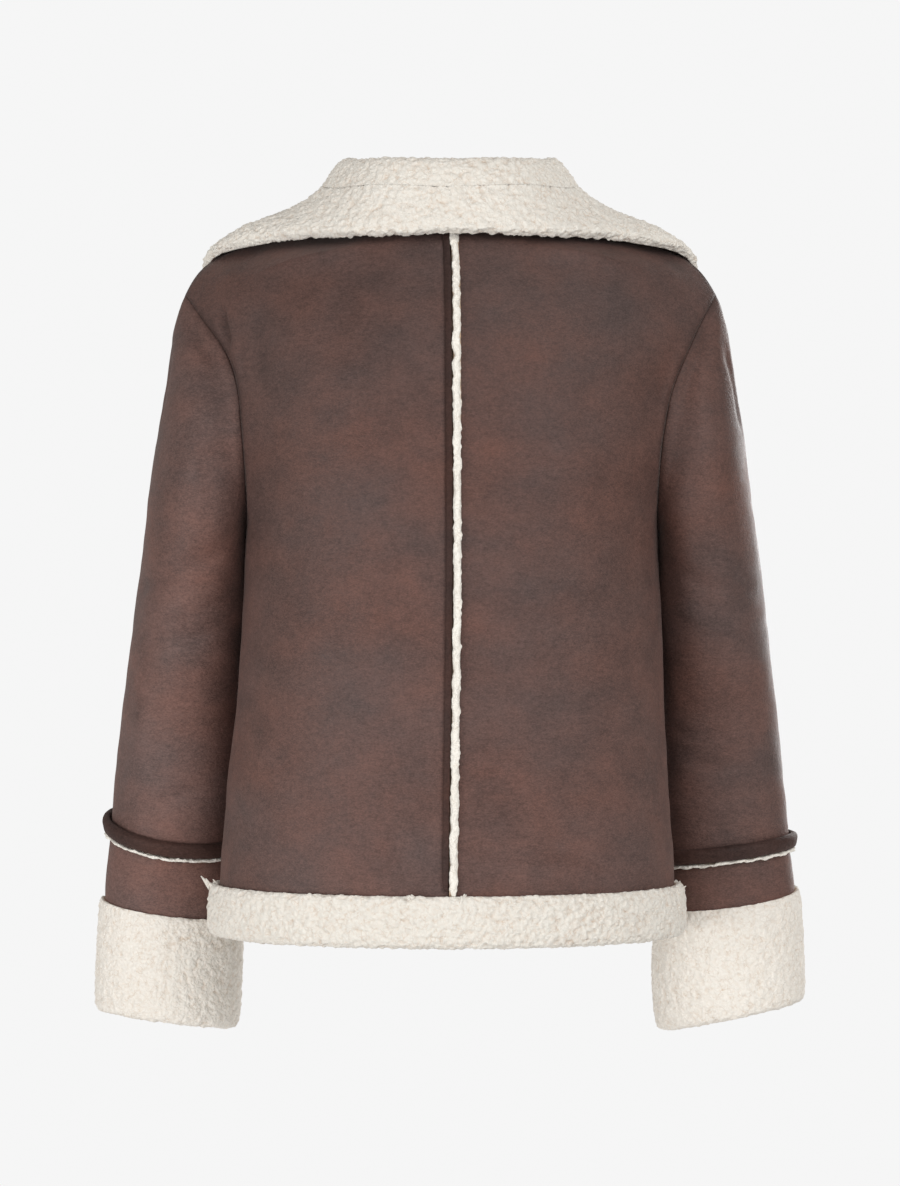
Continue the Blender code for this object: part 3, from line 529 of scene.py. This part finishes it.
def wisp(bm, tuft, dice):
    """One bent tapering strand of a tuft."""
    way = Vector(tuft.way) + scatter(dice, WISP_SPREAD)
    long = tuft.length * dice.uniform(WISP_SHORTEST, 1.0)
    first = len(bm.verts)
    made = bmesh.ops.create_cone(bm, cap_ends=True, segments=WISP_SIDES, radius1=WISP_ROOT,
                                 radius2=WISP_TIP, depth=long)["verts"]
    bmesh.ops.translate(bm, verts=made, vec=(0.0, 0.0, long / 2.0))
    sides = {e for v in made for e in v.link_edges if e.calc_length() > long * 0.9}
    bmesh.ops.subdivide_edges(bm, edges=list(sides), cuts=3)
    bm.verts.ensure_lookup_table()
    made = bm.verts[first:]
    bend = dice.uniform(-WISP_BEND, WISP_BEND) / long
    for vert in made:
        vert.co.x += bend * vert.co.z ** 2
    turn = way.to_track_quat("Z", "Y").to_matrix()
    foot = Vector(tuft.foot) + scatter(dice, WISP_SCATTER)
    bmesh.ops.transform(bm, matrix=Matrix.Translation(foot) @ turn.to_4x4(), verts=made)


def tufts(name, places, seed):
    """Small wisps of pile that stick out of a turned edge, in one mesh."""
    dice = random.Random(seed)
    bm = bmesh.new()
    for tuft in places:
        for _ in range(tuft.strands):
            wisp(bm, tuft, dice)
    layer = bm.verts.layers.float.new("pile_height")
    for vert in bm.verts:
        vert[layer] = TOP_OF_PILE
    thing = make_piece(name, bm, (HEM_PILE,))
    return thing


# ---------------------------------------------------------------- shader writing

class Signal:
    """A number over a surface, from a shader socket, that takes part in plain arithmetic."""

    def __init__(self, tree, socket):
        self.tree = tree
        self.socket = socket

    def _with(self, operation, *operands):
        node = self.tree.node("ShaderNodeMath", {"operation": operation}, dict(enumerate(operands)))
        return Signal(self.tree, node.outputs[0])

    def __add__(self, other):
        return self._with("ADD", self, other)

    def __sub__(self, other):
        return self._with("SUBTRACT", self, other)

    def __rsub__(self, other):
        return self._with("SUBTRACT", other, self)

    def __mul__(self, other):
        return self._with("MULTIPLY", self, other)

    def __truediv__(self, other):
        return self._with("DIVIDE", self, other)

    def __rtruediv__(self, other):
        return self._with("DIVIDE", other, self)

    __radd__ = __add__
    __rmul__ = __mul__

    def clamp(self):
        return self._with("MINIMUM", self._with("MAXIMUM", self, 0.0), 1.0)


class Tree:
    """The nodes of a material or a world."""

    def __init__(self, owner):
        owner.use_nodes = True
        self.nodes = owner.node_tree.nodes
        self.links = owner.node_tree.links

    def node(self, kind, settings, sockets):
        """A node of that type: its settings first, then the values or links of its sockets."""
        made = self.nodes.new(kind)
        for key, value in settings.items():
            setattr(made, key, value)
        self.fill(made, sockets)
        return made

    def fill(self, made, sockets):
        """Give the sockets of a node their values or links."""
        for key, value in sockets.items():
            if isinstance(value, Signal):
                value = value.socket
            if isinstance(value, bpy.types.NodeSocket):
                self.links.new(value, made.inputs[key])
            else:
                made.inputs[key].default_value = value


class Finish(Tree):
    """A material under construction."""

    def __init__(self, name):
        self.material = bpy.data.materials.new(name)
        super().__init__(self.material)
        self.shader = self.nodes["Principled BSDF"]
        self.place = self.node("ShaderNodeTexCoord", {}, {}).outputs["Object"]

    def squat(self, times):
        """Object coordinates in which a pattern is that many times as wide as it is high."""
        sockets = {"Vector": self.place, "Scale": (1.0, 1.0, times)}
        return self.node("ShaderNodeMapping", {}, sockets).outputs[0]

    def kept(self, name):
        """A number that the mesh keeps on its points."""
        made = self.node("ShaderNodeAttribute", {"attribute_name": name}, {})
        return Signal(self, made.outputs["Fac"])

    def noise(self, place, scale, detail, roughness):
        sockets = {"Vector": place, "Scale": scale, "Detail": detail, "Roughness": roughness}
        return Signal(self, self.node("ShaderNodeTexNoise", {}, sockets).outputs[0])

    def cells(self, feature, place, scale):
        """Distance from the middles of cells, or from their borders."""
        made = self.node("ShaderNodeTexVoronoi", {"feature": feature},
                         {"Vector": place, "Scale": scale})
        return Signal(self, made.outputs["Distance"])

    def vector(self, operation, sockets):
        return self.node("ShaderNodeVectorMath", {"operation": operation}, sockets)

    def colour_mix(self, factor, first, second, blend="MIX"):
        made = self.node("ShaderNodeMix",
                         {"data_type": "RGBA", "blend_type": blend, "clamp_factor": True},
                         {"Factor": factor, 6: first, 7: second})
        return made.outputs[2]

    def times(self, base, red, green, blue):
        """A colour with each of its channels multiplied."""
        return self.colour_mix(1.0, base, (red, green, blue, 1.0), "MULTIPLY")

    def bump(self, height, distance, strength, under=None):
        sockets = {"Height": height, "Distance": distance, "Strength": strength}
        if under is not None:
            sockets["Normal"] = under
        return self.node("ShaderNodeBump", {}, sockets).outputs[0]


def colour(red, green, blue):
    """Linear colour from the values that a screen shows, 0 to 255."""
    return tuple((c / 255.0 / 12.92) if c <= 10 else ((c / 255.0 + 0.055) / 1.055) ** 2.4
                 for c in (red, green, blue)) + (1.0,)


# ---------------------------------------------------------------- finishes

COOL_BROWN = colour(83, 66, 62)
WARM_BROWN = colour(96, 66, 57)
CUT_LEATHER = colour(196, 160, 128)
PRESSED_RIM = colour(206, 178, 150)
SHORN_LOW = colour(188, 177, 164)
SHORN_HIGH = colour(236, 230, 220)
PALER_FROM = -0.06               # the suede grows paler from this height down to the next
PALEST_AT = -0.56

Patch = namedtuple("Patch", "x z radius")
RED_PATCHES = (                  # where the suede is rubbed warmer
    Patch(-0.040, -0.135, 0.055),
    Patch(-0.035, -0.225, 0.050),
    Patch(-0.110, -0.235, 0.045),
    Patch(0.075, -0.200, 0.040),
    Patch(0.060, -0.320, 0.060),
    Patch(-0.250, -0.220, 0.050),
    Patch(-0.030, -0.460, 0.045),
    Patch(0.130, -0.060, 0.035),
)
GREY_PATCHES = (                 # where it is cooler
    Patch(0.060, -0.110, 0.060),
    Patch(-0.130, -0.090, 0.050),
    Patch(-0.060, -0.310, 0.055),
    Patch(0.050, -0.400, 0.050),
    Patch(0.165, -0.500, 0.035),
    Patch(0.030, -0.520, 0.050),
    Patch(-0.225, -0.300, 0.045),
    Patch(0.240, -0.120, 0.040),
)


def patch_mask(finish, patches):
    """Soft round patches, seen square on from the back."""
    flat = finish.vector("MULTIPLY", {0: finish.place, 1: (1.0, 0.0, 1.0)}).outputs[0]
    total = None
    for patch in patches:
        away = finish.vector("DISTANCE", {0: flat, 1: (patch.x, 0.0, patch.z)}).outputs["Value"]
        mask = (1.0 - Signal(finish, away) / patch.radius).clamp()
        total = mask if total is None else total + mask
    return total


def suede_brown(finish, drift):
    """Warm and cool brown in clouds and patches, paler towards the hem."""
    clouds = finish.noise(finish.squat(1.5), 9.0, 4.0, 0.5)
    red = patch_mask(finish, RED_PATCHES)
    grey = patch_mask(finish, GREY_PATCHES)
    warmth = ((clouds - 0.5) * 1.7 + (drift - 0.5) * 0.8 + red * 0.38 - grey * 0.42 + 0.45).clamp()
    base = finish.colour_mix(warmth, COOL_BROWN, WARM_BROWN)
    axes = finish.node("ShaderNodeSeparateXYZ", {}, {"Vector": finish.place})
    height = Signal(finish, axes.outputs["Z"])
    low = ((height - PALER_FROM) / (PALEST_AT - PALER_FROM)).clamp()
    return finish.colour_mix(low, finish.times(base, 0.83, 0.82, 0.82),
                             finish.times(base, 1.13, 1.12, 1.12))


def suede_relief(finish):
    """Soft unevenness, pores and nap."""
    soft = finish.noise(finish.place, 42.0, 3.0, 0.5)
    pores = finish.noise(finish.squat(1.6), 380.0, 3.0, 0.6)
    nap = finish.noise(finish.place, 1500.0, 2.0, 0.6)
    relief = finish.bump(soft, 0.0030, 0.35)
    relief = finish.bump(pores, 0.0008, 0.6, relief)
    return finish.bump(nap, 0.0003, 0.5, relief)


def suede(name, light=1.0, shine=0.30):
    """Soft brown suede: speckled, streaked, with painted shade in its folds and seams, pale where it is
    cut.
    """
    finish = Finish(name)
    drift = finish.noise(finish.squat(1.25), 27.0, 4.0, 0.6)
    speckle = finish.noise(finish.squat(1.9), 520.0, 3.0, 0.75)
    mottle = finish.noise(finish.squat(1.7), 210.0, 3.0, 0.65)
    streak = finish.noise(finish.squat(3.0), 110.0, 3.0, 0.6)
    # painted shade in seams and fold troughs, kept on the points, darkens the suede
    seam = finish.kept("painted_crease_shade")
    shade = ((streak - 0.5) * 0.5 + (drift - 0.5) * 1.1 + (speckle - 0.5) * 2.3 + (mottle - 0.5)
             - seam * seam * 0.42 + 0.5).clamp()
    base = suede_brown(finish, drift)
    # light above 1 brightens the whole colour as painted light, below 1 darkens it as painted shade
    deep = finish.times(base, 0.62 * light, 0.60 * light, 0.60 * light)
    pale = finish.times(base, 1.36 * light, 1.36 * light, 1.38 * light)
    cloth = finish.colour_mix(shade, deep, pale)
    cut = (finish.kept("raw_edge") * 2.0 - 0.6).clamp()
    finish.fill(finish.shader, {
        "Base Color": finish.colour_mix(cut, cloth, CUT_LEATHER),
        "Roughness": 0.58 + (drift - 0.5) * 0.35 + (speckle - 0.5) * 0.15,
        "Sheen Weight": shine / 3.0,
        "Sheen Roughness": 0.45,
        "Sheen Tint": (0.86, 0.76, 0.72, 1.0),
        "Specular IOR Level": shine,
        "Normal": suede_relief(finish),
    })
    return finish.material


def pile(name, high, low, partings=230.0):
    """Off-white curly pile, with painted shade in its partings and where the height kept on its points
    is low, and painted highlight on the middles of its curls.
    """
    finish = Finish(name)
    wander = finish.node("ShaderNodeTexNoise", {},
                         {"Vector": finish.place, "Scale": 210.0, "Detail": 2.0}).outputs["Color"]
    off = finish.vector("SCALE", {0: wander, "Scale": 0.0040}).outputs[0]
    spot = finish.vector("ADD", {0: finish.place, 1: off}).outputs[0]
    nub = 1.0 - finish.cells("F1", spot, partings * 1.5)
    tint = finish.noise(finish.place, 34.0, 3.0, 0.5)
    broken = finish.noise(finish.place, 150.0, 2.0, 0.5)
    strands = finish.noise(finish.place, 900.0, 3.0, 0.6)
    edge = finish.cells("DISTANCE_TO_EDGE", spot, partings)
    parting = (1.0 - edge / 0.10).clamp() * ((broken - 0.47) * 6.0).clamp()
    shadow = ((0.50 - finish.kept("pile_height")) * 2.4).clamp()
    # painted shade in the partings and low places, painted highlight on the curls' middles, with random
    # tone from tint and strands
    lit = (0.92 - shadow * 0.45 - parting * 0.50 + (nub - 0.5) * 0.35 + (strands - 0.5) * 0.12
           + (tint - 0.5) * 0.20).clamp()
    base = finish.colour_mix(lit, low, high)
    rim = (finish.kept("raw_edge") * 1.4).clamp()
    relief = finish.bump(nub, 0.0020, 0.45)
    finish.fill(finish.shader, {
        "Base Color": finish.colour_mix(rim, base, PRESSED_RIM),
        "Roughness": 0.95,
        "Sheen Weight": 0.15,
        "Sheen Roughness": 0.6,
        "Sheen Tint": (1.0, 0.98, 0.94, 1.0),
        "Specular IOR Level": 0.15,
        "Normal": finish.bump(strands, 0.0004, 0.35, relief),
    })
    return finish.material


def shorn_pile(name):
    """The close-cropped pile of the inside."""
    finish = Finish(name)
    grain = finish.noise(finish.place, 330.0, 3.0, 0.6)
    clump = finish.noise(finish.place, 90.0, 3.0, 0.55)
    lit = ((grain - 0.5) * 1.6 + (clump - 0.5) * 0.8 + 0.55).clamp()
    relief = finish.bump(clump, 0.0030, 0.6)
    finish.fill(finish.shader, {
        "Base Color": finish.colour_mix(lit, SHORN_LOW, SHORN_HIGH),
        "Roughness": 0.96,
        "Sheen Weight": 0.25,
        "Specular IOR Level": 0.12,
        "Normal": finish.bump(grain, 0.0018, 0.9, relief),
    })
    return finish.material


SUEDE = suede("brown_suede")
# lit copies of the suede: the left sleeve's colour is raised a great deal and the right one's a little,
# as painted light
LEFT_SUEDE_PAINTED_LIGHT = suede("left_sleeve_suede_painted_light", 1.29)
RIGHT_SUEDE_PAINTED_LIGHT = suede("right_sleeve_suede_painted_light", 1.05)
# darker copy of the suede for the seam allowances: painted shade on the raised strips
LIP_SUEDE_PAINTED_SHADE = suede("raw_edge_suede_painted_shade", 0.50, 0.12)
LINING = shorn_pile("lining_pile")
COLLAR_PILE = pile("collar_pile", colour(229, 225, 217), colour(202, 180, 160))
HEM_PILE = pile("hem_pile", colour(229, 225, 217), colour(202, 180, 160))
CUFF_PILE = pile("cuff_pile", colour(237, 232, 224), colour(208, 189, 170), 260.0)
EDGE_PILE = pile("seam_pile", colour(242, 238, 230), colour(206, 194, 180), 300.0)

# ---------------------------------------------------------------- the jacket

Cut = namedtuple("Cut", "width length area")

Tuft = namedtuple("Tuft", "foot way length strands")
HEM_TUFTS = (                    # wisps of pile that escape above the hem band
    Tuft((0.1995, 0.0030, -0.5610), (0.75, 0.1, 0.9), 0.0125, 5),
    Tuft((0.1955, 0.0040, -0.5600), (0.15, 0.1, 1.0), 0.0060, 6),
    Tuft((-0.1925, 0.0060, -0.5640), (-0.3, 0.3, 0.9), 0.0100, 5),
    Tuft((0.0310, 0.1325, -0.5600), (0.5, 0.2, 0.9), 0.0045, 4),
    Tuft((-0.0110, 0.1325, -0.5600), (-0.5, 0.2, 0.9), 0.0060, 4),
)


def body():
    """Back and front panels."""
    made = {}
    for tag in ("left", "right"):
        for face, folds in (("back_", BACK_FOLDS), ("front_", FRONT_FOLDS)):
            made[face + tag] = suede_piece(face + tag, body_outward, body_chart, folds,
                                           (SUEDE, LINING))
    return made


def sleeves():
    """Sleeves with their lower bands, the lips over their seams, and the cuffs."""
    made = {}
    # the left sleeve and its band take the copy with painted light, the right band the plain suede
    for tag, folds, leather, band in (("left", LEFT_SLEEVE_FOLDS, LEFT_SUEDE_PAINTED_LIGHT, LEFT_SUEDE_PAINTED_LIGHT),
                                      ("right", RIGHT_SLEEVE_FOLDS, RIGHT_SUEDE_PAINTED_LIGHT, SUEDE)):
        made["sleeve_" + tag] = suede_piece("sleeve_" + tag, sleeve_outward, sleeve_chart, folds,
                                            (leather, LINING))
        made["band_" + tag] = suede_piece("sleeve_band_" + tag, sleeve_outward, sleeve_chart,
                                          NO_FOLDS, (band, LINING))
        made["lip_" + tag] = seam_lip("sleeve_seam_lip_" + tag)
        made["edge_" + tag] = pile_piece("sleeve_seam_pile_" + tag, sleeve_outward, 0.0012,
                                         (EDGE_PILE,), ragged=0.0013)
        made["cuff_" + tag] = pile_piece("cuff_" + tag, sleeve_outward, 0.0018, (CUFF_PILE,))
    return made


def seam_lip(node):
    """A raw leather allowance that stands out along a seam, cut pale beside its pile."""
    bm = rounded(copy_of(node), SUEDE_ROUNDS)
    pile_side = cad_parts[node.replace("lip", "pile")].data
    edge = BVHTree.FromPolygons([v.co for v in pile_side.vertices],
                                [face.vertices for face in pile_side.polygons])
    layer = bm.verts.layers.float.new("raw_edge")
    for vert in bm.verts:
        vert[layer] = 1.0 - min(1.0, edge.find_nearest(vert.co)[3] / RAW_EDGE)
        vert.co += vert.normal * (noise.noise(vert.co * LIP_WAVES) * LIP_UNEVEN)
    # the strip's suede is darkened with painted shade
    thing = make_piece(node + "_edge", bm, (LIP_SUEDE_PAINTED_SHADE,))
    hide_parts(node)
    return thing


def trims():
    """Hem, exposed back seam and collar."""
    made = {}
    for node in ("hem_back", "hem_front_left", "hem_front_right"):
        made[node] = pile_piece(node, body_outward, 0.0034, (HEM_PILE,))
    made["hem_tufts"] = tufts("hem_tufts", HEM_TUFTS, 5)
    made["back_seam_lip"] = seam_lip("back_seam_lip")
    made["back_seam_pile"] = pile_piece("back_seam_pile", body_outward, 0.0012, (EDGE_PILE,),
                                        ragged=0.0014)
    made["collar_stand"] = pile_piece("collar_stand", stand_outward, 0.0030, (COLLAR_PILE,),
                                      cell=COLLAR_CELL)
    made["collar_fall"] = pile_piece("collar_fall", fall_outward, 0.0034, (COLLAR_PILE, SUEDE),
                                     sewn_to="collar", cell=COLLAR_CELL)
    return made


# ---------------------------------------------------------------- stage

FLOOR_RADIUS = 1.6
FLOOR_Z = -1.10
ROOM_LIGHT = (0.41, 0.40, 0.385, 1.0)
BACKDROP = (0.92, 0.92, 0.92, 1.0)
JACKET_MIDDLE = Vector((0.0, 0.0, -0.3))

Lamp = namedtuple("Lamp", "name place size power")
LAMPS = (
    Lamp("key", (1.9, 1.7, -0.8), 1.4, 28.0),
    Lamp("fill", (-2.0, 2.4, 0.3), 2.2, 27.0),
    Lamp("beside_camera", (0.9, 3.4, -0.2), 0.9, 9.5),
    Lamp("top", (-1.0, 2.0, 1.4), 1.8, 21.0),
    Lamp("front", (-1.6, -3.0, 0.2), 2.0, 60.0),
)


def floor():
    """Pale round floor below the jacket."""
    bm = bmesh.new()
    bmesh.ops.create_circle(bm, segments=64, radius=FLOOR_RADIUS, cap_ends=True)
    bmesh.ops.translate(bm, verts=bm.verts, vec=(0.0, 0.0, FLOOR_Z))
    mesh = bpy.data.meshes.new("floor")
    bm.to_mesh(mesh)
    bm.free()
    thing = bpy.data.objects.new("floor", mesh)
    bpy.context.scene.collection.objects.link(thing)
    paint = bpy.data.materials.new("floor_paint")
    tree = Tree(paint)
    tree.fill(tree.nodes["Principled BSDF"], {"Base Color": (0.86, 0.86, 0.86, 1.0), "Roughness": 0.9})
    mesh.materials.append(paint)


def studio():
    """A soft white room, seen as the photograph's plain pale backdrop."""
    world = bpy.data.worlds.new("studio")
    tree = Tree(world)
    seen = tree.node("ShaderNodeLightPath", {}, {}).outputs["Is Camera Ray"]
    level = tree.node("ShaderNodeMix", {"data_type": "RGBA"},
                      {"Factor": seen, 6: ROOM_LIGHT, 7: BACKDROP}).outputs[2]
    tree.fill(tree.nodes["Background"], {"Color": level})
    bpy.context.scene.world = world


def lamps():
    """Round soft lamps that point at the jacket."""
    for lamp in LAMPS:
        light = bpy.data.lights.new(lamp.name, "AREA")
        light.shape = "DISK"
        light.size = lamp.size
        light.energy = lamp.power
        thing = bpy.data.objects.new(lamp.name, light)
        thing.location = lamp.place
        thing.rotation_euler = (JACKET_MIDDLE - Vector(lamp.place)).to_track_quat("-Z", "Y").to_euler()
        bpy.context.scene.collection.objects.link(thing)


def camera():
    """The camera of the photograph, level, looking at the back."""
    lens = bpy.data.cameras.new("camera")
    lens.sensor_width = 36.0
    lens.lens = lens.sensor_width * FOCAL / FRAME_HEIGHT
    eye = bpy.data.objects.new("camera", lens)
    eye.location = CAMERA_PLACE
    eye.rotation_euler = (math.radians(90.0), 0.0, math.radians(180.0))
    bpy.context.scene.collection.objects.link(eye)
    bpy.context.scene.camera = eye
    bpy.context.scene.view_settings.view_transform = "Standard"


def main():
    pieces = body()
    pieces.update(sleeves())
    pieces.update(trims())
    floor()
    studio()
    lamps()
    camera()


main()
